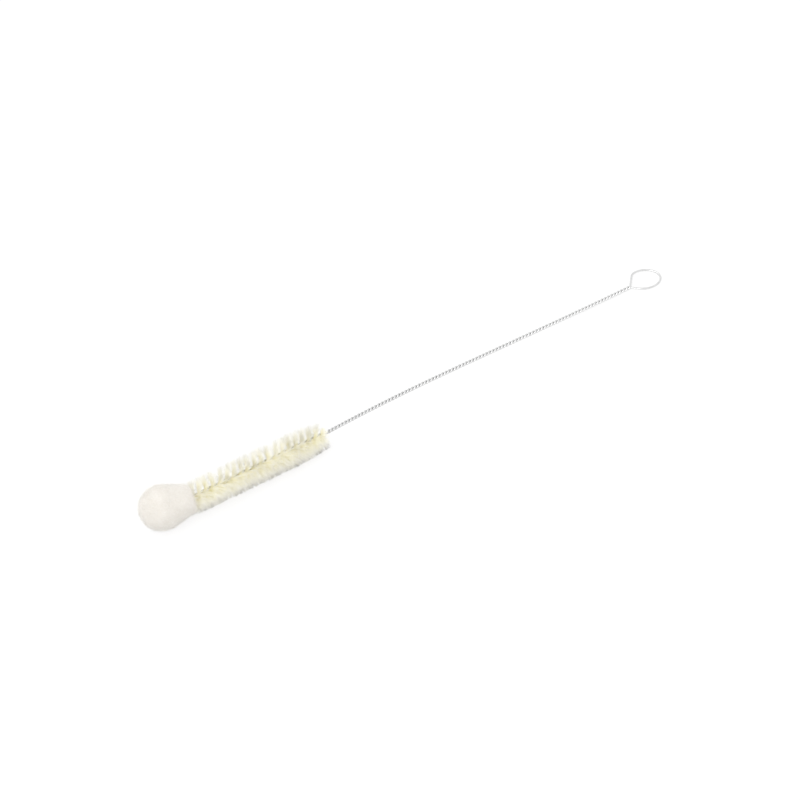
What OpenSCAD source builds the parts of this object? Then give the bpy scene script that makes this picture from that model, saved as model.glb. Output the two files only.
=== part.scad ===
// Laboratory bottle brush with a wool tip, twisted-in-wire construction.
// One galvanised wire is folded in half. The fold is the hanging ring, and the two legs are twisted
// round each other from the ring to the tip. Between the legs the twist grips a layer of natural
// bristles, each one straight through the middle, which it turns into a double spiral, and at the
// tip a tuft of wool.
// The brush lies at rest on a flat surface: +X runs from the wool tip to the ring, +Z is up, and the
// origin is on the surface, below the middle of its length and of its width at the wool.

/* [Brush] */
// Overall length, from the front of the wool to the end of the ring
total_l = 450; // [430:1:480]
// Diameter over the bristle tips
brush_d = 25; // [22:0.5:27]
// Length of wire that carries bristles
brush_l = 110; // [100:1:125]
// Length of the trimmed taper at the handle end of the bristles
taper_l = 22; // [15:1:30]
// Radius that the bristles lose over the taper
taper_loss = 2.5; // [1:0.5:4]

/* [Wool tip] */
// How much wider the wool ball is than the bristles
wool_over = 9; // [6:0.5:12]
// Length of the wool, from its front to the first bristles
wool_l = 42; // [38:1:46]
// How much the soft wool flattens where it rests
wool_flat = 0.25; // [0.1:0.05:0.4]
// How far the middle of the wool ball stands sideways off the stem's axis
wool_aside = 3; // [0:0.5:4]

/* [Wire] */
// Wire diameter
wire_d = 1.5; // [1.3:0.1:1.7]
// Full turns of the bare twisted stem
stem_turns = 46; // [40:1:50]
// Full turns of the twist along the bristles
brush_turns = 9.5; // [8:0.5:10]
// Depth of the wire's cut ends behind the front of the wool
wire_end = 13; // [10:1:18]
// How far the bare stem bows sideways, most near the bristles
stem_bow = 2.2; // [0:0.1:3]

/* [Hanging ring] */
// Width of the oval ring, to the middle of the wire
ring_w = 18; // [17:0.5:20]
// Length of the oval ring, to the middle of the wire
ring_l = 25.2; // [23:0.2:27]
// How far the oval's long axis is turned off the stem's line
ring_turn = 17.5; // [0:0.5:20]
// How far the ring's centre stands off the stem's axis
ring_off = 0.9; // [0:0.1:2]
// Distance from the last crossing of the legs to the round of the ring
ring_gap = 1.4; // [0.5:0.1:1.5]
// How far the kink beside the ring stands inside its oval
kink_in = 0.4; // [0.3:0.1:1.2]

/* [Bristles] */
// Pleats of bristles in one turn of the twist
pleats = 14; // [10:1:16]
// Thickness of the gripped bristle layer
layer_t = 0.4; // [0.3:0.05:0.5]
// Furthest that a pleat spreads along the stem at its tips
spread = 3.2; // [2:0.1:3.6]
// Radius at the notches between pleats, as a share of the full radius
notch = 0.76; // [0.6:0.01:0.9]
// How uneven the pleats are, as a share of their length and spread
uneven = 0.08; // [0:0.01:0.12]

/* [Hidden] */
round_fn = 96;
gap = 0.12;
full_turn = 360;

// The wire's section is a hexagon inside the round wire's own circle, with a flat towards the stem's
// axis at every ring. Each turn of a leg has as many rings as the hexagon has sides, and the tube's
// edges move on by one side from ring to ring, so the twisted wire keeps flat, even faces.
wire_r = wire_d / 2;
wire_sides = 6;
side_a = full_turn / wire_sides;
wire_flat = wire_r * cos(side_a / 2);

// Radius of each leg's helix. The chord between two rings cuts inside the helix, where the legs all
// but touch in the stem, and where they grip the bristle layer in the brush.
chord = cos(side_a / 2);
touch = 0.01;
stem_helix_r = (wire_r + touch) / chord;
brush_helix_r = (wire_r + layer_t / 2 + touch) / chord;

// The hanging ring is laid out as a circle and then stretched into its oval, away from the crossing
// of the legs. The crossing lies outside it, so that both legs reach it on straight lines.
ring_r = ring_w / 2;
ring_d = ring_r + ring_gap;
long_way = [cos(ring_turn), -sin(ring_turn)];
function oval(p) = p + (ring_l / ring_w - 1) * (p * long_way) * long_way;
off_share = ring_off / (norm(oval([0, 1])) * ring_d);
lean = atan2(oval([0, 1])[1], oval([0, 1])[0]) - acos(off_share);
ring_centre = ring_d * [cos(lean), sin(lean)];
ring_reach = oval(ring_centre)[0] + ring_r * norm(oval([1, 0]));

// Stations along the stem's axis, from the front of the wool.
wool_r = (brush_d + wool_over) / 2;
brush_start = wool_l + gap;
brush_end = wool_l + brush_l;
crossing = total_l - wire_d / 2 - ring_reach;
brush_pitch = brush_l / brush_turns;
stem_pitch = (crossing - brush_end) / stem_turns;

// The pose at rest: the brush leans on the ring's end and on whatever else reaches lowest.
ring_end = total_l - wire_d / 2;
supports = [
    [wool_r, wool_r - wool_flat],
    [brush_end - taper_l, brush_d / 2],
    [brush_end, brush_d / 2 - taper_loss]
];
tilt = max([for (s = supports) asin((s[1] - wire_r) / (ring_end - s[0]))]);
rest_l = wool_r + (ring_end - wool_r) * cos(tilt) + wire_d / 2;

function unit(v) = v / norm(v);
function across(v, t) = unit(v - (v * t) * t);
function mix(a, b, t) = a + (b - a) * t;
function flatten(lists) = [for (l = lists) each l];

// Angle of the twist at a station. The legs are left-handed helices that cross one above the other
// where the ring opens, so the angle falls to a quarter turn there.
function twist(x) = full_turn / 4
    + full_turn * (crossing - max(x, brush_end)) / stem_pitch
    + full_turn * (brush_end - min(x, brush_end)) / brush_pitch;

// Directions across the stem: out to the first leg, and along the bristles.
function leg_way(x) = [0, cos(twist(x)), sin(twist(x))];
function bristle_way(x) = [0, -sin(twist(x)), cos(twist(x))];

// Stations of the wire's sections, from the cut end to the crossing.
brush_rings = round((brush_end - wire_end) / brush_pitch * wire_sides);
stem_rings = stem_turns * wire_sides;
leg_stations = concat(
    [for (i = [0 : brush_rings - 1]) mix(wire_end, brush_end, i / brush_rings)],
    [for (i = [0 : stem_rings - 1]) mix(brush_end, crossing, i / stem_rings)]
);
function helix_r(x) = x < brush_end ? brush_helix_r : stem_helix_r;

// The bare stem bows sideways between the bristles and the ring.
bow_skew = 0.6;
function bow(x) = let (t = max(0, x - brush_end) / (crossing - brush_end))
    stem_bow * pow(sin(full_turn / 2 * pow(t, bow_skew)), 2);

// A point of the wire's route is its place and the direction that its section keeps to.
function leg_point(x, side) = [[x, bow(x), 0] + side * helix_r(x) * leg_way(x), leg_way(x)];
leg = [for (x = leg_stations) leg_point(x, 1)];
leg_back = [for (i = [len(leg_stations) - 1 : -1 : 0]) leg_point(leg_stations[i], -1)];

// The ring, seen from above: straight from the crossing to the kink, round the oval, and straight
// back on its tangent. It falls from the upper leg to the middle, and on to the lower leg.
kink_a = 114;
join_a = 86;
tangent_a = lean - full_turn / 2 + acos(ring_r / ring_d);
ring_steps = 21;
straight_steps = 3;
function ring_at(a, r) = ring_centre + r * [cos(a), sin(a)];
kink = ring_at(kink_a, ring_r - kink_in);
tangent_point = ring_at(tangent_a, ring_r);
ring_round = concat(
    [for (i = [0 : straight_steps]) kink * (i / (straight_steps + 0.25))],
    [ring_at(mix(kink_a, join_a, 0.5), ring_r - kink_in * 0.4)],
    [for (i = [0 : ring_steps]) ring_at(mix(join_a, tangent_a, i / ring_steps), ring_r)],
    [for (i = [straight_steps - 1 : -1 : 0]) tangent_point * (i / straight_steps)]
);
ring_flat = [for (p = ring_round) oval(p)];
ring_last = len(ring_flat) - 1;
ring = [for (i = [0 : ring_last])
    [[crossing + ring_flat[i][0], ring_flat[i][1], stem_helix_r * pow(1 - 2 * i / ring_last, 3)],
     [0, 0, 1]]];

wire_route = concat(leg, ring, leg_back);

// One section of the wire: a hexagon square to the route. Its corners count on by one side at each
// ring of the twisted legs, and not round the ring.
function turns_on(i) = min(i, len(leg)) + max(0, i - len(leg) - len(ring));
function section(route, i) = let (
    last = len(route) - 1,
    along = unit(route[min(i + 1, last)][0] - route[max(i - 1, 0)][0]),
    up = across(route[i][1], along),
    side = cross(along, up)
) [for (k = [0 : wire_sides - 1]) let (a = (k + 0.5 + turns_on(i)) * side_a)
    route[i][0] + wire_r * (cos(a) * up + sin(a) * side)];

// Faces of a tube of rings. Each quad between two rings is split along its rising or its falling
// diagonal, whichever follows the surface better. The cap is the faces across the first ring.
function quad_split(a, b, c, d, rising) = rising ? [[a, d, b], [a, c, d]] : [[a, c, b], [b, c, d]];
function tube_faces(rings, sides, rising, cap) = concat(
    cap,
    flatten([for (i = [0 : rings - 2], k = [0 : sides - 1]) let (
        a = i * sides + k,
        b = i * sides + (k + 1) % sides
    ) quad_split(a, b, a + sides, b + sides, rising)]),
    [for (face = cap) [for (j = [len(face) - 1 : -1 : 0]) (rings - 1) * sides + face[j]]]
);
wire_cap = [[for (k = [0 : wire_sides - 1]) k]];
layer_cap = [[0, 1, 2, 5], [2, 3, 4, 5]];
layer_sides = 6;

// One bristle layer, wound by the twist into a double spiral. Every bristle runs straight through
// the middle of the stem, so the layer is a strip with a thin waist between the legs and two rims at
// the bristle tips. Stations cut it across. They are by turns the crest of a pleat, long and spread,
// and the notch between two pleats, short and thin.
station_count = 2 * round(brush_turns * pleats);
bristle_seed = 7;
uneven_draws = rands(-uneven, uneven, 2 * station_count + 2, bristle_seed);
function tip_r(x) = brush_d / 2 - taper_loss * max(0, x - (brush_end - taper_l)) / taper_l;
function rim(i, side) = let (
    x = mix(brush_start + spread / 2, brush_end - spread / 2, i / station_count),
    draw = uneven_draws[2 * i + (side > 0 ? 0 : 1)],
    crest = i % 2 == 0,
    r = tip_r(x) * (crest ? 1 - abs(draw) : notch + draw),
    half = spread / 2 * (crest ? 1 + draw : 0.3 + draw) * (1 - uneven),
    way = side * r * bristle_way(x)
) [[x - side * half, 0, 0] + way, [x + side * half, 0, 0] + way];
function waist(i) = let (
    x = mix(brush_start + spread / 2, brush_end - spread / 2, i / station_count)
) [[x, 0, 0] + layer_t / 2 * leg_way(x), [x, 0, 0] - layer_t / 2 * leg_way(x)];
function layer_ring(i) = let (near = rim(i, 1), far = rim(i, -1), middle = waist(i))
    [near[0], near[1], middle[1], far[1], far[0], middle[0]];

// The wool's outline: a ball at the front and a cone tangent to it behind. Its axis leans from the
// stem's axis, which it meets at the first bristles, out to the middle of the ball. The cone runs on
// past the first bristles, where it is cut off square to the stem.
wool_back = norm([wool_l - wool_r, wool_aside]);
wool_lean = asin(wool_aside / wool_back);
wool_end_r = brush_d / 2;
wool_past = wool_aside;
cone_a = asin(wool_r / norm([wool_back, wool_end_r])) - atan2(wool_end_r, wool_back);
bore_r = brush_helix_r + wire_r + gap;

module wool_outline() {
    intersection() {
        union() {
            translate([0, wool_r])
                circle(r = wool_r, $fn = round_fn);
            polygon([
                [0, wool_r],
                [wool_r * cos(cone_a), wool_r + wool_r * sin(cone_a)],
                [wool_end_r, wool_r + wool_back],
                [wool_end_r, wool_r + wool_back + wool_past],
                [0, wool_r + wool_back + wool_past]
            ]);
        }
        square([2 * wool_r, wool_r + wool_back + wool_past]);
    }
}

// From the stem's own line to the pose at rest.
module at_rest() {
    translate([wool_r - rest_l / 2, -wool_aside, wire_r + (ring_end - wool_r) * sin(tilt)])
        rotate([0, tilt, 0])
            translate([-wool_r, 0, 0])
                children();
}

module wire() {
    color([0.72, 0.73, 0.74])
        at_rest()
            polyhedron(
                points = flatten([for (i = [0 : len(wire_route) - 1]) section(wire_route, i)]),
                faces = tube_faces(len(wire_route), wire_sides, false, wire_cap)
            );
}

module bristles() {
    color([0.92, 0.89, 0.76])
        at_rest()
            polyhedron(
                points = flatten([for (i = [0 : station_count]) layer_ring(i)]),
                faces = tube_faces(station_count + 1, layer_sides, true, layer_cap)
            );
}

module wool_tip() {
    bore_start = wire_end - wire_d / 2;
    color([0.93, 0.91, 0.88])
        difference() {
            at_rest()
                difference() {
                    intersection() {
                        translate([wool_l, 0, 0])
                            rotate([0, 90, -wool_lean])
                                translate([0, 0, -wool_r - wool_back])
                                    rotate_extrude($fn = round_fn)
                                        wool_outline();
                        rotate([0, 90, 0])
                            translate([0, 0, -wool_r])
                                cylinder(r = brush_d, h = wool_l + wool_r);
                    }
                    translate([bore_start, 0, 0])
                        rotate([0, 90, 0])
                            cylinder(r = bore_r, h = wool_l, $fn = round_fn);
                }
            translate([-rest_l, -brush_d, -brush_d])
                cube([rest_l, 2 * brush_d, brush_d]);
        }
}

wire();
bristles();
wool_tip();
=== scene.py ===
import math

import bpy
import numpy as np
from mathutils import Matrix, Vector, noise


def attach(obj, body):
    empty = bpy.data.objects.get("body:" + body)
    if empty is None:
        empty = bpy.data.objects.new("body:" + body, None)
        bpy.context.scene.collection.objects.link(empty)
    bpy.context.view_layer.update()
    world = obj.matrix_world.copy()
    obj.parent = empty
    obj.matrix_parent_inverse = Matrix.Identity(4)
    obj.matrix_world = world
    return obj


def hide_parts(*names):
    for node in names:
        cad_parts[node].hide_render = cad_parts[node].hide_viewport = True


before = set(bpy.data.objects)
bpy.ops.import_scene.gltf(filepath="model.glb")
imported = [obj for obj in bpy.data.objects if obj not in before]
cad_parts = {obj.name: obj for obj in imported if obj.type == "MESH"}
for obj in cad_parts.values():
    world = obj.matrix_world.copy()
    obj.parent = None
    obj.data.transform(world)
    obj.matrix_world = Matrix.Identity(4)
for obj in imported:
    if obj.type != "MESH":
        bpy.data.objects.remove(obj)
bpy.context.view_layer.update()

MM = 0.001

# Sizes, with the names that they have in the part's source.
TOTAL_L = 0.450
BRUSH_D = 0.025
BRUSH_L = 0.110
TAPER_L = 0.022
TAPER_LOSS = 0.0025
WOOL_OVER = 0.009
WOOL_L = 0.042
WOOL_FLAT = 0.00025
WOOL_ASIDE = 0.003
WIRE_D = 0.0015
STEM_TURNS = 46
BRUSH_TURNS = 9.5
WIRE_END = 0.013
STEM_BOW = 0.0022
BOW_SKEW = 0.6
RING_W = 0.018
RING_L = 0.0252
RING_TURN = math.radians(17.5)
RING_OFF = 0.0009
RING_GAP = 0.0014
KINK_IN = 0.0004
LAYER_T = 0.0004

WIRE_R = WIRE_D / 2
WOOL_R = (BRUSH_D + WOOL_OVER) / 2
WOOL_BACK = math.hypot(WOOL_L - WOOL_R, WOOL_ASIDE)
WOOL_LEAN = math.asin(WOOL_ASIDE / WOOL_BACK)
BRUSH_END = WOOL_L + BRUSH_L
RING_END = TOTAL_L - WIRE_R

# The ring is laid out as a circle and stretched into its oval, away from the legs' crossing.
RING_R = RING_W / 2
RING_D = RING_R + RING_GAP
LONG_WAY = np.array([math.cos(RING_TURN), -math.sin(RING_TURN)])


def oval(p):
    return p + (RING_L / RING_W - 1) * (p @ LONG_WAY)[..., None] * LONG_WAY


ALONG, ACROSS = oval(np.eye(2))
RING_LEAN = (math.atan2(ACROSS[1], ACROSS[0])
             - math.acos(RING_OFF / (np.linalg.norm(ACROSS) * RING_D)))
RING_CENTRE = RING_D * np.array([math.cos(RING_LEAN), math.sin(RING_LEAN)])
CROSSING = RING_END - oval(RING_CENTRE)[0] - RING_R * np.linalg.norm(ALONG)
BRUSH_PITCH = BRUSH_L / BRUSH_TURNS
STEM_PITCH = (CROSSING - BRUSH_END) / STEM_TURNS
SUPPORTS = [
    (WOOL_R, WOOL_R - WOOL_FLAT),
    (BRUSH_END - TAPER_L, BRUSH_D / 2),
    (BRUSH_END, BRUSH_D / 2 - TAPER_LOSS),
]
TILT = max(math.asin((r - WIRE_R) / (RING_END - x)) for x, r in SUPPORTS)
REST_L = WOOL_R + (RING_END - WOOL_R) * math.cos(TILT) + WIRE_R
REST_X = WOOL_R - REST_L / 2
REST_Z = WIRE_R + (RING_END - WOOL_R) * math.sin(TILT)


# ---- Camera -------------------------------------------------------------------------------------

CAM_AZIMUTH = -32.74
CAM_ELEVATION = 52.0
CAM_DISTANCE = 2.6616
CAM_LENS = 162.85
CAM_RIGHT = -0.00506
CAM_UP = -0.00156


def make_camera():
    a, e = math.radians(CAM_AZIMUTH), math.radians(CAM_ELEVATION)
    back = Vector((math.sin(a) * math.cos(e), -math.cos(a) * math.cos(e), math.sin(e)))
    right = Vector((math.cos(a), math.sin(a), 0))
    up = back.cross(right)
    data = bpy.data.cameras.new("camera")
    data.lens = CAM_LENS
    data.clip_start, data.clip_end = 0.05, 60
    camera = bpy.data.objects.new("camera", data)
    camera.location = right * CAM_RIGHT + up * CAM_UP + back * CAM_DISTANCE
    camera.rotation_euler = back.to_track_quat("Z", "Y").to_euler()
    bpy.context.scene.collection.objects.link(camera)
    bpy.context.scene.camera = camera


# ---- Lines and meshes ---------------------------------------------------------------------------

def unit(v):
    return v / np.linalg.norm(v, axis=-1, keepdims=True)


def lay_down(points):
    """From the stem's own line to the pose at rest."""
    x, y, z = points[..., 0] - WOOL_R, points[..., 1], points[..., 2]
    c, s = math.cos(TILT), math.sin(TILT)
    return np.stack([x * c + z * s + REST_X, y - WOOL_ASIDE, z * c - x * s + REST_Z], -1)


def twist(x):
    """Angle of the twist at a station, as in the part's source."""
    stem = (CROSSING - np.maximum(x, BRUSH_END)) / STEM_PITCH
    brush = (BRUSH_END - np.minimum(x, BRUSH_END)) / BRUSH_PITCH
    return math.pi / 2 + 2 * math.pi * (stem + brush)


def bow(x):
    """How far the bare stem bows sideways at a station, as in the part's source."""
    t = np.clip((x - BRUSH_END) / (CROSSING - BRUSH_END), 0, 1)
    return STEM_BOW * np.sin(math.pi * t ** BOW_SKEW) ** 2


def round_stem(x, radius, angle):
    """Points at a distance from the stem's axis, in a direction round it."""
    return np.stack([x, radius * np.cos(angle), radius * np.sin(angle)], -1)


def tubes(lines, radii, sideways, sides):
    """Points and faces of closed tubes, from an array of lines by points by 3."""
    count, steps = lines.shape[:2]
    along = unit(np.gradient(lines, axis=1))
    out = unit(sideways - along * np.sum(sideways * along, -1, keepdims=True))
    over = np.cross(along, out)
    k = np.arange(sides)
    turn = (2 * math.pi * k / sides)[:, None]
    section = np.cos(turn) * out[:, :, None] + np.sin(turn) * over[:, :, None]
    points = lines[:, :, None] + radii[..., None, None] * section
    first = (np.arange(count)[:, None] * steps + np.arange(steps - 1)) * sides
    a, b = first[..., None] + k, first[..., None] + (k + 1) % sides
    walls = np.stack([a, b, b + sides, a + sides], -1).reshape(-1, 4)
    start = np.arange(count)[:, None] * steps * sides + k
    end = start + (steps - 1) * sides
    faces = walls.tolist() + start[:, ::-1].tolist() + end.tolist()
    return points.reshape(-1, 3), faces


def add_piece(name, points, faces, material, smooth=True):
    mesh = bpy.data.meshes.new(name)
    mesh.from_pydata(points.tolist(), [], faces)
    mesh.polygons.foreach_set("use_smooth", [smooth] * len(mesh.polygons))
    mesh.materials.append(material)
    mesh.update()
    piece = bpy.data.objects.new(name, mesh)
    bpy.context.scene.collection.objects.link(piece)
    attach(piece, "root")
    return piece


def even_steps(line, count):
    """A polyline with evenly spaced points."""
    run = np.concatenate([[0], np.cumsum(np.linalg.norm(np.diff(line, axis=0), axis=1))])
    at = np.linspace(0, run[-1], count)
    return np.stack([np.interp(at, run, line[:, i]) for i in range(line.shape[1])], -1)


# ---- Materials ----------------------------------------------------------------------------------

class Nodes:
    """The node tree of a material, with short ways to add to it."""

    def __init__(self, owner):
        owner.use_nodes = True
        self.tree = owner.node_tree
        self.tree.nodes.clear()

    def add(self, kind, sockets=(), **settings):
        made = self.tree.nodes.new("ShaderNode" + kind)
        for name, value in settings.items():
            setattr(made, name, value)
        for key, value in dict(sockets).items():
            if isinstance(value, bpy.types.NodeSocket):
                self.tree.links.new(value, made.inputs[key])
            else:
                made.inputs[key].default_value = value
        return made

    def math(self, operation, *values):
        return self.add("Math", enumerate(values), operation=operation).outputs[0]

    def noise(self, vector, scale, detail=2.0, roughness=0.5):
        sockets = {"Vector": vector, "Scale": scale, "Detail": detail, "Roughness": roughness}
        return self.add("TexNoise", sockets).outputs["Fac"]

    def ramp(self, factor, stops):
        made = self.add("ValToRGB", {"Fac": factor})
        bar = made.color_ramp.elements
        bar[0].position, bar[1].position = stops[0][0], stops[-1][0]
        for place, _ in stops[1:-1]:
            bar.new(place)
        for stop, (_, colour) in zip(bar, stops):
            stop.color = (*colour, 1)
        return made.outputs["Color"]

    def span(self, factor, low, high, to_low, to_high):
        sockets = {"Value": factor, "From Min": low, "From Max": high,
                   "To Min": to_low, "To Max": to_high}
        return self.add("MapRange", sockets).outputs["Result"]

    def blend(self, factor, a, b, how="MIX"):
        made = self.add("Mix", {0: factor, 6: a, 7: b}, data_type="RGBA", blend_type=how)
        return made.outputs[2]

    def bump(self, height, distance, strength=1.0):
        sockets = {"Height": height, "Distance": distance, "Strength": strength}
        return self.add("Bump", sockets).outputs["Normal"]

    def stem_place(self):
        """Place on the stem's own line: its vector, its x, its radius and its angle."""
        c, s = math.cos(TILT), math.sin(TILT)
        back = (WOOL_R - REST_X * c + REST_Z * s, WOOL_ASIDE, -REST_X * s - REST_Z * c)
        here = self.add("TexCoord").outputs["Object"]
        sockets = {"Vector": here, "Location": back, "Rotation": (0, -TILT, 0)}
        place = self.add("Mapping", sockets).outputs["Vector"]
        parts = self.add("SeparateXYZ", {0: place}).outputs
        y = self.math("SUBTRACT", parts["Y"], self.bow(parts["X"]))
        y2, z2 = self.math("MULTIPLY", y, y), self.math("MULTIPLY", parts["Z"], parts["Z"])
        radius = self.math("SQRT", self.math("ADD", y2, z2))
        angle = self.math("ARCTAN2", parts["Z"], y)
        return place, parts["X"], radius, angle

    def bow(self, x):
        t = self.span(x, BRUSH_END, CROSSING, 0, 1)
        wave = self.math("SINE", self.math("MULTIPLY", self.math("POWER", t, BOW_SKEW), math.pi))
        return self.math("MULTIPLY", self.math("MULTIPLY", wave, wave), STEM_BOW)

    def fibre_place(self, x, angle, radius, scales):
        """A place for noise that is stretched in the way that hairs or fibres run."""
        axes = [self.math("MULTIPLY", *pair) for pair in zip((x, angle, radius), scales)]
        return self.add("CombineXYZ", enumerate(axes)).outputs[0]

    def shown(self):
        """1 for rays from the camera and for those that metal and glass send on, otherwise 0."""
        seen = self.add("LightPath").outputs
        direct = self.math("MAXIMUM", seen["Is Camera Ray"], seen["Is Glossy Ray"])
        return self.math("MAXIMUM", direct, seen["Is Transmission Ray"])

    def finish(self, shader):
        self.add("OutputMaterial", {"Surface": shader.outputs[0]})


def new_material(name):
    material = bpy.data.materials.new(name)
    return material, Nodes(material)


def grey(value):
    return (value, value, value)


NEAR_HEAD_TONE = 0.88
# Painted shade: how dark the wire is made near the stem's axis, in the groove between the legs.
GROOVE_SHADE_TONE = 0.60
GROOVE_SHADE_R = (0.0002, 0.0006)


def galvanised():
    """Drawn wire with a dull zinc coat, darker towards the brush head: soft spangle, brighter
    patches and fine pits. The groove between the legs is darkened with painted shade."""
    material, n = new_material("galvanised_wire")
    place, x, radius, _ = n.stem_place()
    spangle = n.noise(place, 900, 3)
    patches = n.noise(place, 240, 2)
    pits = n.noise(place, 5200, 3)
    zinc = n.ramp(spangle, [(0.3, grey(0.72)), (0.55, grey(0.77)), (0.75, grey(0.83))])
    wear_and_top_light = n.ramp(patches, [(0.4, grey(0.95)), (0.7, grey(1.0))])
    colour = n.blend(1.0, zinc, wear_and_top_light, "MULTIPLY")
    # Painted shade: the wire is darkened close to the stem's axis, in the groove between the legs.
    groove_shade = n.span(radius, *GROOVE_SHADE_R, GROOVE_SHADE_TONE, 1.0)
    # The wire's colour is darker towards the brush head, and evenly so inside it.
    tone_along_stem = n.span(x, BRUSH_END, CROSSING, NEAR_HEAD_TONE, 1.0)
    colour = n.blend(1.0, colour, n.math("MULTIPLY", groove_shade, tone_along_stem), "MULTIPLY")
    roughness = n.span(spangle, 0.3, 0.7, 0.18, 0.34)
    shader = n.add("BsdfPrincipled", {
        "Base Color": colour, "Metallic": 1.0, "Roughness": roughness,
        "Normal": n.bump(pits, 0.00002, 0.5),
    })
    n.finish(shader)
    return material


# On the top side of the brush, painted light whitens the tips and the tone varies at random. Angles
# round the stem start sideways, as the twist's do.
PAINTED_LIGHT_SIDE = math.radians(33)
# Tip colours: painted light whitens the top tips, and painted shade darkens the low ones.
PAINTED_LIT_TIP = (0.995, 0.992, 0.975, 1)
UNSHADED_TIP = (0.92, 0.915, 0.91, 1)
SHADED_LOW_TIP = (0.44, 0.43, 0.41, 1)


def bristle():
    """Natural bristle: straw-yellow where it is gripped and paler towards the tip. Painted shade
    darkens the low tips, and on the top side painted light whitens the tips, whose tone varies
    there."""
    material, n = new_material("bristle")
    place, x, radius, angle = n.stem_place()
    hair = n.noise(n.fibre_place(x, angle, radius, (500, 1.5, 40)), 1.0, 2)
    trimmed = n.span(x, BRUSH_END - TAPER_L, BRUSH_END, BRUSH_D / 2, BRUSH_D / 2 - TAPER_LOSS)
    reach = n.math("DIVIDE", radius, trimmed)
    body = n.ramp(reach, [
        (0.10, (0.99, 0.965, 0.77)), (0.35, (0.998, 0.983, 0.86)), (0.60, (0.998, 0.988, 0.91)),
        (0.90, (0.998, 0.99, 0.945)),
    ])
    # Painted light: the top side of the brush gets whitened tips, and its tone varies at random.
    wear_and_top_light = n.span(n.math("COSINE", n.math("SUBTRACT", angle, PAINTED_LIGHT_SIDE)), -0.3, 0.3, 0.1, 1.0)
    lit_top_tips = n.math("MULTIPLY", wear_and_top_light, n.span(reach, 0.55, 1.0, 0, 0.6))
    body = n.blend(lit_top_tips, body, PAINTED_LIT_TIP)
    # Painted shade: tips on the low side, facing the floor, are darkened.
    above = n.span(n.math("SINE", angle), -0.6, 0.1, 0, 1)
    tip = n.blend(above, SHADED_LOW_TIP, UNSHADED_TIP)
    at_tip = n.math("MULTIPLY", n.span(reach, 0.78, 1.02, 0, 1), n.span(hair, 0.42, 0.58, 1.0, 0.3))
    body = n.blend(at_tip, body, tip)
    tone = n.ramp(hair, [
        (0.35, (0.82, 0.815, 0.80)), (0.47, (0.95, 0.947, 0.94)), (0.60, grey(1.0)),
    ])
    colour = n.blend(wear_and_top_light, body, tone, "MULTIPLY")
    scales = n.noise(place, 6500, 2)
    shader = n.add("BsdfPrincipled", {
        "Base Color": colour, "Roughness": n.span(hair, 0.3, 0.7, 0.42, 0.62),
        "Specular IOR Level": 0.4, "Normal": n.bump(scales, 0.00001, 0.2),
    })
    n.finish(shader)
    return material


GLOW_FIBRE = (0.95, 0.94, 0.92, 1)


def wool(name, painted_glow):
    """Carded wool: matt, off-white, faintly mottled, with fibres that run round the tuft. Loose
    fibres are painted paler, as painted light for the glow of thin fibres lit from behind."""
    material, n = new_material(name)
    place, x, radius, angle = n.stem_place()
    mottle = n.noise(place, 150, 3)
    fibre = n.noise(n.fibre_place(x, angle, radius, (2200, 9, 500)), 1.0, 4, 0.65)
    body = n.ramp(mottle, [
        (0.3, (0.77, 0.74, 0.69)), (0.5, (0.80, 0.77, 0.72)), (0.7, (0.83, 0.80, 0.755)),
    ])
    # Painted light: loose fibres are blended towards a paler colour.
    body = n.blend(painted_glow, body, GLOW_FIBRE)
    streak = n.ramp(fibre, [(0.25, (0.94, 0.93, 0.91)), (0.6, grey(1.0))])
    colour = n.blend(0.8, body, streak, "MULTIPLY")
    fine = n.math("ADD", fibre, n.math("MULTIPLY", n.noise(place, 1500, 3), 0.6))
    shader = n.add("BsdfPrincipled", {
        "Base Color": colour, "Roughness": n.span(fibre, 0.2, 0.8, 0.85, 1.0),
        "Specular IOR Level": 0.2, "Sheen Weight": 0.8, "Sheen Roughness": 0.4,
        "Normal": n.bump(fine, 0.00025, 0.7),
    })
    n.finish(shader)
    return material


WHITE_SHARE = 0.76


def floor_paper():
    """Pale paper, shown as white. Part of that white is the light on the paper, so it keeps the
    object's shadow."""
    material, n = new_material("floor_paper")
    shown = n.shown()
    grain = n.noise(n.add("TexCoord").outputs["Object"], 40, 3)
    paper = n.ramp(grain, [(0.3, grey(0.745)), (0.7, grey(0.75))])
    paper = n.blend(shown, paper, (1, 1, 1, 1))
    matt = n.add("BsdfDiffuse", {"Color": paper, "Roughness": 1.0})
    white = n.add("Emission", {"Color": (1, 1, 1, 1), "Strength": 1.0})
    share = n.math("MULTIPLY", shown, WHITE_SHARE)
    n.finish(n.add("MixShader", {0: share, 1: matt.outputs[0], 2: white.outputs[0]}))
    return material


# ---- Wire ---------------------------------------------------------------------------------------

WIRE_SIDES = 14
RINGS_PER_TURN = 28
RING_STEPS = 150
RING_ROUNDING = 12
HEAD_HELIX_R = WIRE_R + LAYER_T / 2
KINK_A = math.radians(114)
JOIN_A = math.radians(86)


def helix_radius(x):
    """The legs touch in the stem, and stand a layer of bristles apart in the brush."""
    grip = np.clip((BRUSH_END + MM - x) / (2 * MM), 0, 1)
    return WIRE_R + (HEAD_HELIX_R - WIRE_R) * grip * grip * (3 - 2 * grip)


def leg_line(side):
    head = round((BRUSH_END - WIRE_END) / BRUSH_PITCH * RINGS_PER_TURN)
    stem = STEM_TURNS * RINGS_PER_TURN
    x = np.concatenate([np.linspace(WIRE_END, BRUSH_END, head, endpoint=False),
                        np.linspace(BRUSH_END, CROSSING, stem, endpoint=False)])
    return round_stem(x, side * helix_radius(x), twist(x)) + bow(x)[:, None] * np.array([0, 1, 0])


def ring_at(angle, radius):
    return RING_CENTRE + radius * np.array([math.cos(angle), math.sin(angle)])


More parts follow.
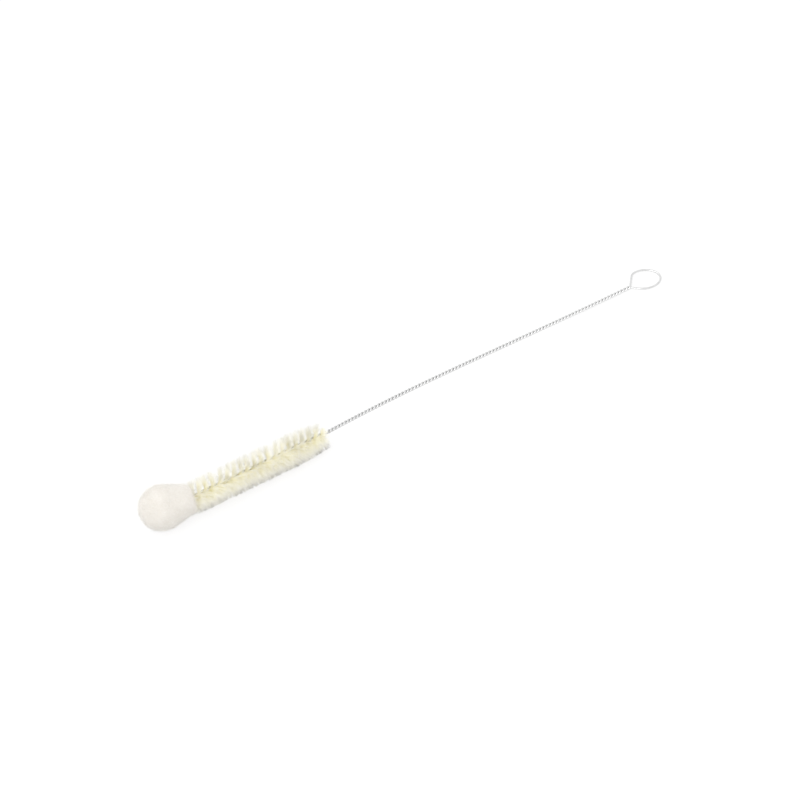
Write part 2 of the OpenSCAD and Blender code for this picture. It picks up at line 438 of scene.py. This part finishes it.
def ring_line():
    """The fold of the wire, seen from above: out to the kink, round, and back on the tangent."""
    tangent_a = RING_LEAN - math.pi + math.acos(RING_R / RING_D)
    bend = ring_at((KINK_A + JOIN_A) / 2, RING_R - 0.4 * KINK_IN)
    turns = [ring_at(a, RING_R) for a in np.linspace(JOIN_A, tangent_a, RING_STEPS)]
    flat = np.array([(0, 0), ring_at(KINK_A, RING_R - KINK_IN), bend, *turns, (0, 0)])
    flat = even_steps(oval(flat), RING_STEPS)
    height = WIRE_R * (1 - 2 * np.linspace(0, 1, RING_STEPS)) ** 3
    return np.column_stack([CROSSING + flat[:, 0], flat[:, 1], height])


def rounded(line, first, last, passes):
    """Rounds off the corners between two points of a line, less towards both of them."""
    weight = np.zeros(len(line))
    weight[first:last] = np.sin(np.linspace(0, math.pi, last - first)) ** 0.25 * 0.5
    for _ in range(passes):
        middle = (line[:-2] + line[2:]) / 2
        line[1:-1] += weight[1:-1, None] * (middle - line[1:-1])
    return line


def carried_sideways(line):
    """Directions across a line, carried along it without twist."""
    along = unit(np.gradient(line, axis=0))
    out = np.zeros_like(line)
    here = np.array([0.0, 0.0, 1.0])
    for i, way in enumerate(along):
        here = here - way * here.dot(way)
        here = here / np.linalg.norm(here)
        out[i] = here
    return out


def make_wire(material):
    leg, ring = leg_line(1), ring_line()
    line = np.concatenate([leg, ring, leg_line(-1)[::-1]])
    overlap = RINGS_PER_TURN // 4
    line = rounded(line, len(leg) - overlap, len(leg) + len(ring) + overlap, RING_ROUNDING)
    line = lay_down(line)
    radii = np.full((1, len(line)), WIRE_R)
    points, faces = tubes(line[None], radii, carried_sideways(line)[None], WIRE_SIDES)
    piece = add_piece("twisted_wire", points, faces, material)
    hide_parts("wire")


# ---- Bristles -----------------------------------------------------------------------------------

HAIR_SEED = 11
HAIRS = 4200
HAIR_PIECES = 3
HAIR_STEPS = 9
HAIR_SIDES = 3
HAIR_R = 0.00015
HAIR_TIP_R = 0.00012
WORN_TIP_R = 0.00004
HAIR_FLOOR = 0.00005
LOCK_PITCH = 0.0005
LOCK_GROUPS = 9
WOOL_OVERLAP = 0.0055
LAST_ROOT = 0.0015
ROOT_WANDER = 0.0006
END_FADE = 0.006
LOW_WAY = np.array([0, -0.72, -0.69])
LOW_LONGER = 0.05
WANDER_WAVES = (800, 420, 170)

# The bristles on the low side are even, and those on top are frayed. Each pair is a value on the
# low side and one on top, as shares of the reach.
SWEEP = (0.105, 0.3)
WANDER = (0.03, 0.15)
LOCK_SHORT = (0.02, 0.05)
HAIR_SHORT = (0.01, 0.09)
END_SHORT = (0.1, 0.7)
LOCK_BEND = (0.05, 0.12)
LOCK_CURL = (0.04, 0.1)
HAIR_BEND = (0.015, 0.065)
LOCK_PULL = (0.75, 0.3)

# How far locks and single bristles stray along the stem (lean) and round it (swing). The single
# ones on top stray less, by the calm shares, where they are well away from the handle's end.
LOCK_LEAN, LOCK_SWING = 0.05, 0.06
HAIR_LEAN, HAIR_SWING = 0.12, 0.14
CALM_LEAN, CALM_SWING = 0.06, 0.078
CALM_FROM = 0.02

# How much of their sweep the top bristles lose at the wool.
WOOL_HOLDS = 0.12


def tip_radius(x):
    return BRUSH_D / 2 - TAPER_LOSS * np.clip((x - BRUSH_END + TAPER_L) / TAPER_L, 0, 1)


def wander(rng, x):
    """Slow unevenness of the winding along the brush, between about -1 and 1."""
    phases = rng.uniform(0, 2 * math.pi, len(WANDER_WAVES))
    return sum(np.sin(wave * x + phase) for wave, phase in zip(WANDER_WAVES, phases)) / 2


def by_side(pair, top):
    """A value between its low side's, where top is 0, and its top side's, where top is 1."""
    return pair[0] + (pair[1] - pair[0]) * top


def locks(rng, x):
    """Bristles that leave the twist side by side cling together in locks. Gives the random draws
    that each one shares with its lock, and how far it stands off the lock's middle."""
    lock_bin = ((x - WOOL_L + WOOL_OVERLAP) / LOCK_PITCH).astype(int)
    lock = lock_bin * LOCK_GROUPS + rng.integers(0, LOCK_GROUPS, len(x))
    draws = rng.normal(0, 1, (lock.max() + 1, 4))[lock].T
    return draws, x - (WOOL_L - WOOL_OVERLAP + (lock_bin + 0.5) * LOCK_PITCH)


def half_reach(rng, x, low):
    """Reach of the bristles' halves on one side, and how they lean and bend along the stem and
    round it, as shares of the reach. All are swept towards the handle. Those on top are swept more
    and shorter from wear, most of all at the handle's end."""
    draws, off = locks(rng, x)
    top, low = np.clip(-low, 0, 1), np.clip(low, 0, 1)
    handle_end = np.clip((x + LAST_ROOT - BRUSH_END) / END_FADE + 1, 0, 1) ** 2
    wool_end = np.clip((WOOL_L + END_FADE - x) / (WOOL_OVERLAP + END_FADE), 0, 1)
    calm = top * np.clip((BRUSH_END - CALM_FROM - x) / CALM_FROM, 0, 1)
    short = by_side(LOCK_SHORT, top) * np.abs(draws[0])
    short = short + np.abs(rng.normal(0, by_side(HAIR_SHORT, top)))
    reach = tip_radius(x) * (1 + LOW_LONGER * low - short - by_side(END_SHORT, top) * handle_end)
    lean = (by_side(SWEEP, top) + by_side(WANDER, top) * wander(rng, x) + LOCK_LEAN * draws[1]
            + rng.normal(0, HAIR_LEAN - CALM_LEAN * calm) - WOOL_HOLDS * top * wool_end)
    swing = (by_side(WANDER, top) * wander(rng, x) + LOCK_SWING * draws[2]
             + rng.normal(0, HAIR_SWING - CALM_SWING * calm))
    pull = by_side(LOCK_PULL, top) * off
    bend = (by_side(LOCK_BEND, top) * draws[3] + rng.normal(0, by_side(HAIR_BEND, top))
            - pull / reach)
    curl = (by_side(LOCK_CURL, top) * draws[0] + rng.normal(0, by_side(HAIR_BEND, top))
            + pull * 2 * math.pi / BRUSH_PITCH)
    return reach, lean, swing, bend, curl


def hair_lines(rng, x):
    """Lines of whole bristles, each one through the middle between the legs, and their radii."""
    s = np.linspace(-1, 1, HAIR_STEPS)
    thick = rng.uniform(0.75, 1.2, len(x))[:, None]
    radii = np.zeros((len(x), HAIR_STEPS))
    angle = twist(x) + math.pi / 2
    across, legs = round_stem(0 * x, 1, angle), round_stem(0 * x, 1, twist(x))
    lines = np.zeros((len(x), HAIR_STEPS, 3))
    lines[..., 0] = x[:, None]
    lines += legs[:, None] * rng.uniform(-0.4, 0.4, (len(x), 1, 1)) * LAYER_T
    for side in (-1, 1):
        low = side * across @ LOW_WAY
        reach, lean, swing, bend, curl = half_reach(rng, x, low)
        t = np.clip(side * s, 0, None)
        tip = HAIR_TIP_R + (WORN_TIP_R - HAIR_TIP_R) * np.clip(-low, 0, 1)[:, None]
        radii += np.where(t > 0, thick * (HAIR_R + (tip - HAIR_R) * t ** 1.5), 0)
        out = side * reach[:, None] * t
        lines += across[:, None] * out[..., None]
        lines[..., 0] += reach[:, None] * (lean[:, None] * t + bend[:, None] * t * t)
        sway = reach[:, None] * (swing[:, None] * t + curl[:, None] * t * t)
        lines -= side * legs[:, None] * sway[..., None]
    return lines, np.where(radii > 0, radii, thick * HAIR_R)


def make_bristles(material):
    rng = np.random.default_rng(HAIR_SEED)
    start = WOOL_L - WOOL_OVERLAP
    room = BRUSH_END - LAST_ROOT - start
    x = start + room * (np.arange(HAIRS) + rng.uniform(0, 1, HAIRS)) / HAIRS
    x = np.clip(x + ROOT_WANDER * wander(rng, x), start, start + room)
    lines, radii = hair_lines(rng, x)
    lines = lay_down(lines)
    sideways = np.broadcast_to([1.0, 0.0, 0.0], lines.shape)
    for i, part in enumerate(np.array_split(np.arange(HAIRS), HAIR_PIECES)):
        points, faces = tubes(lines[part], radii[part], sideways[part], HAIR_SIDES)
        points[:, 2] = np.maximum(points[:, 2], HAIR_FLOOR)
        piece = add_piece("bristles_%d" % (i + 1), points, faces, material, False)
        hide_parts("bristles")


# ---- Wool ---------------------------------------------------------------------------------------

WOOL_ROUND = 150
BALL_STEPS, CONE_STEPS, EDGE_STEPS, BACK_STEPS = 72, 36, 12, 8
POLE_A = 0.01
WOOL_EDGE = 0.0035
WOOL_IN = 0.002
NECK_SLIM = 0.0025
DENT_WAY = np.array([0.19, -0.66, 0.72])
DENT_SIZE = 0.0045
DENT_DEPTH = 0.0008
LUMP_SIZE, LUMP_DEPTH = 0.007, 0.00045
TUFT_SIZE, TUFT_DEPTH = 0.0016, 0.00012
PRESSED = 0.0006

# Loose fibres. Each pair is the least and the most of a value.
FUZZ_SEED = 23
FUZZ = 13000
FUZZ_PIECES = 2
FUZZ_STEPS = 5
FUZZ_SIDES = 3
FUZZ_R = 0.00003
FUZZ_ROOM = 0.0006
FUZZ_FLOOR = 0.0001
FUZZ_L = (0.0015, 0.0045)
FUZZ_RISE = (0.02, 0.35)
FUZZ_CURL = (0.6, 2.2)
# Painted light: how far loose fibres are painted paler.
FUZZ_GLOW = 0.7


def leant(points):
    """From the wool's own axis to the stem's line, which it meets at the first bristles."""
    x, y, z = points[..., 0], points[..., 1], points[..., 2]
    c, s = math.cos(WOOL_LEAN), math.sin(WOOL_LEAN)
    return np.stack([WOOL_L + x * c + y * s, y * c - x * s, z], -1)


def wool_profile():
    """Axial place and radius of the wool's outline: a ball, a cone tangent to it, and a back that
    sits a little under the first bristles."""
    cone_a = (math.asin(WOOL_R / math.hypot(WOOL_BACK, BRUSH_D / 2))
              - math.atan2(BRUSH_D / 2, WOOL_BACK))
    a = np.linspace(POLE_A, math.pi / 2 + cone_a, BALL_STEPS)
    ball = np.column_stack([-WOOL_BACK - WOOL_R * np.cos(a), WOOL_R * np.sin(a)])
    t = np.linspace(0, 1, CONE_STEPS)[1:, None]
    end = np.array([-WOOL_IN - WOOL_EDGE, BRUSH_D / 2])
    cone = ball[-1] * (1 - t) + end * t
    b = np.linspace(0, math.pi / 2, EDGE_STEPS)[1:]
    edge = np.column_stack([end[0] + WOOL_EDGE * np.sin(b), end[1] - WOOL_EDGE * (1 - np.cos(b))])
    inner = np.linspace(end[1] - WOOL_EDGE, MM, BACK_STEPS)[1:]
    back = np.column_stack([np.full_like(inner, -WOOL_IN), inner])
    return np.concatenate([ball, cone, edge, back])


def lumps(points):
    """Unevenness of the wool at each point, in metres."""
    return np.array([
        LUMP_DEPTH * noise.noise(Vector(p) / LUMP_SIZE)
        + TUFT_DEPTH * noise.fractal(Vector(p) / TUFT_SIZE, 0.8, 2, 3)
        for p in points
    ])


def wool_surface():
    """Points and outward directions of the wool, ring by ring, in the pose at rest."""
    profile = wool_profile()
    slope = unit(np.gradient(profile, axis=0))
    angle = np.linspace(0, 2 * math.pi, WOOL_ROUND, endpoint=False)
    x, r = np.repeat(profile[:, 0], WOOL_ROUND), np.repeat(profile[:, 1], WOOL_ROUND)
    angles = np.tile(angle, len(profile))
    points = leant(round_stem(x, r, angles))
    way = round_stem(np.repeat(-slope[:, 1], WOOL_ROUND), np.repeat(slope[:, 0], WOOL_ROUND), angles)
    way = leant(way) - leant(np.zeros(3))
    centre = np.array([WOOL_R, WOOL_ASIDE, 0])
    dent = centre + WOOL_R * DENT_WAY / np.linalg.norm(DENT_WAY)
    hollow = np.exp(-(np.linalg.norm(points - dent, axis=1) / DENT_SIZE) ** 2)
    neck = np.clip((points[:, 0] - WOOL_R) / WOOL_BACK, 0, 1) ** 2
    slim = NECK_SLIM * neck * np.clip(-way @ LOW_WAY, 0, 1)
    points = points + way * (lumps(points) - FUZZ_ROOM - DENT_DEPTH * hollow - slim)[:, None]
    points = lay_down(points)
    way = lay_down(way) - lay_down(np.zeros(3))
    points[:, 2] = rest_on_floor(points[:, 2])
    return points, way, len(profile)


def rest_on_floor(z):
    """Presses what would reach below the floor flat, with a soft edge."""
    return np.where(z < PRESSED, PRESSED * np.exp(np.minimum(z - PRESSED, 0) / PRESSED), z)


def make_wool():
    points, way, rings = wool_surface()
    i, k = np.arange(rings - 1)[:, None] * WOOL_ROUND, np.arange(WOOL_ROUND)
    a, b = i + k, i + (k + 1) % WOOL_ROUND
    faces = np.stack([a, a + WOOL_ROUND, b + WOOL_ROUND, b], -1).reshape(-1, 4).tolist()
    last = (rings - 1) * WOOL_ROUND
    faces += [k.tolist(), (last + k[::-1]).tolist()]
    piece = add_piece("wool_body", points, faces, wool("wool", 0.0))
    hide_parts("wool_tip")
    make_fuzz(wool("wool_fibre", FUZZ_GLOW), *fuzz_lines(points, way, rings))


def fuzz_lines(points, way, rings):
    """Lines of short curled fibres that stand a little proud of the wool, and directions across
    them."""
    rng = np.random.default_rng(FUZZ_SEED)
    wide = np.linalg.norm(points.reshape(rings, WOOL_ROUND, 3).std(axis=1), axis=1)
    chance = np.repeat(wide / wide.sum() / WOOL_ROUND, WOOL_ROUND)
    root = rng.choice(len(points), FUZZ, p=chance / chance.sum())
    normal = unit(way[root])
    aside = rng.normal(0, 1, (FUZZ, 3))
    aside = unit(aside - normal * np.sum(aside * normal, -1, keepdims=True))
    length = rng.uniform(*FUZZ_L, FUZZ)
    rise = rng.uniform(*FUZZ_RISE, FUZZ)
    curl = rng.uniform(*FUZZ_CURL, FUZZ)
    t = np.linspace(0, 1, FUZZ_STEPS)
    lift = (rise * length)[:, None] * np.sin(curl[:, None] * t * 1.4)
    run = length[:, None] * t
    start = points[root] - normal * 0.0002 + aside * rng.uniform(-0.0005, 0.0005, (FUZZ, 1))
    stray = np.cross(normal, aside) * (rng.normal(0, 0.25, FUZZ) * length)[:, None]
    lines = (start[:, None] + aside[:, None] * run[..., None] + normal[:, None] * lift[..., None]
             + stray[:, None] * (t * t)[:, None])
    lines[..., 2] = np.maximum(lines[..., 2], FUZZ_FLOOR)
    return lines, np.broadcast_to(np.cross(normal, aside)[:, None], lines.shape)


def make_fuzz(material, lines, sideways):
    thinned = 1.2 - 0.7 * np.linspace(0, 1, FUZZ_STEPS)
    radii = FUZZ_R * np.broadcast_to(thinned, (FUZZ, FUZZ_STEPS))
    for i, part in enumerate(np.array_split(np.arange(FUZZ), FUZZ_PIECES)):
        made, faces = tubes(lines[part], radii[part], sideways[part], FUZZ_SIDES)
        add_piece("wool_fuzz_%d" % (i + 1), made, faces, material, False)


# ---- Floor and light ----------------------------------------------------------------------------

FLOOR_HALF = 12
SKY_LIGHT = 0.98
LIGHT_BOUNCES = 24


def make_floor():
    corners = [(x * FLOOR_HALF, y * FLOOR_HALF, 0) for x, y in ((-1, -1), (1, -1), (1, 1), (-1, 1))]
    mesh = bpy.data.meshes.new("floor")
    mesh.from_pydata(corners, [], [(0, 1, 2, 3)])
    mesh.materials.append(floor_paper())
    floor = bpy.data.objects.new("floor", mesh)
    bpy.context.scene.collection.objects.link(floor)


def make_lamp(name, place, size, power):
    data = bpy.data.lights.new(name, "AREA")
    data.shape, data.size, data.energy = "DISK", size, power
    lamp = bpy.data.objects.new(name, data)
    lamp.location = place
    lamp.rotation_euler = Vector(place).to_track_quat("Z", "Y").to_euler()
    bpy.context.scene.collection.objects.link(lamp)


def make_light():
    world = bpy.data.worlds.new("studio")
    bpy.context.scene.world = world
    n = Nodes(world)
    strength = n.span(n.shown(), 0, 1, SKY_LIGHT, 1.0)
    sky = n.add("Background", {"Color": (1, 1, 1, 1), "Strength": strength})
    n.add("OutputWorld", {"Surface": sky.outputs[0]})
    make_lamp("key", (-0.8, 0.6, 1.8), 1.4, 6)
    make_lamp("fill", (-1.2, -1.0, 1.7), 1.5, 11)
    # Light passes many times between pale hairs that stand as close as these.
    cycles = bpy.context.scene.cycles
    cycles.max_bounces = cycles.diffuse_bounces = LIGHT_BOUNCES


make_camera()
make_wire(galvanised())
make_bristles(bristle())
make_wool()
make_floor()
make_light()
bpy.context.scene.view_settings.view_transform = "Standard"
